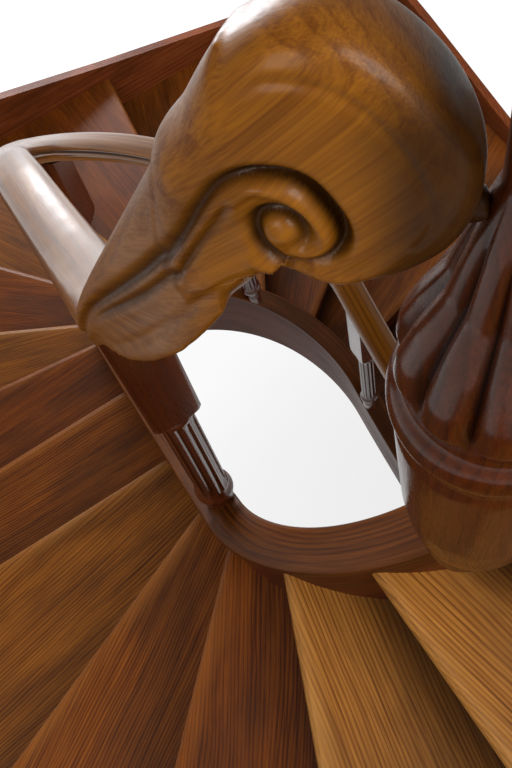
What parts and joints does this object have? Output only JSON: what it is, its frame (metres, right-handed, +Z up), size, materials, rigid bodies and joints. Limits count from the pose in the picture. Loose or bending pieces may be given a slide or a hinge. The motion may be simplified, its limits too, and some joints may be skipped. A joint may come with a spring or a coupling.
{
  "type": "winding staircase",
  "caption": "Winding timber stair round an open oval well, with a moulded wreathed handrail, fluted balusters, carved newels and a quarter landing.",
  "frame": {"origin": "on the back face of the left wall string, at the middle of its length, level with the top of step 12", "axes": "+X out of the left wall into the room, +Y along the left wall towards the far wall, +Z up"},
  "size_m": [3.088, 3.898, 3.9416],
  "materials": {
    "tread": "worn varnish over pitch pine",
    "riser": "dark varnish",
    "joist": "sawn, bare",
    "string": "varnished",
    "string_cap": "varnished, worn",
    "wall_string": "varnished",
    "handrail": "polished by hands",
    "newel": "polished, carved",
    "baluster": "dark polish"
  },
  "bodies": {
    "root": {"tread_01": "tread", "tread_02": "tread", "tread_03": "tread", "tread_04": "tread", "tread_05": "tread", "tread_06": "tread", "tread_07": "tread", "tread_08": "tread", "tread_09": "tread", "tread_10": "tread", "tread_11": "tread", "tread_12": "tread", "tread_13": "tread", "tread_14": "tread", "tread_15": "tread", "tread_16": "tread", "tread_17": "tread", "tread_18": "tread", "risers_lower": "riser", "risers_middle": "riser", "risers_upper": "riser", "landing_deck": "tread", "landing_joists": "joist", "well_string_foot": "string", "well_string_turn": "string", "well_string_side": "string", "well_string_wreath": "string", "well_string_landing": "string", "string_cap_foot": "string_cap", "string_cap_turn": "string_cap", "string_cap_side": "string_cap", "string_cap_wreath": "string_cap", "string_cap_landing": "string_cap", "wall_string_right": "wall_string", "wall_string_far": "wall_string", "wall_string_left": "wall_string", "wall_string_near": "wall_string", "handrail_foot": "handrail", "handrail_turn": "handrail", "handrail_side": "handrail", "handrail_wreath": "handrail", "newel_foot": "newel", "newel_top": "newel", "balusters_lower": "baluster", "balusters_upper": "baluster"}
  },
  "joints": []
}
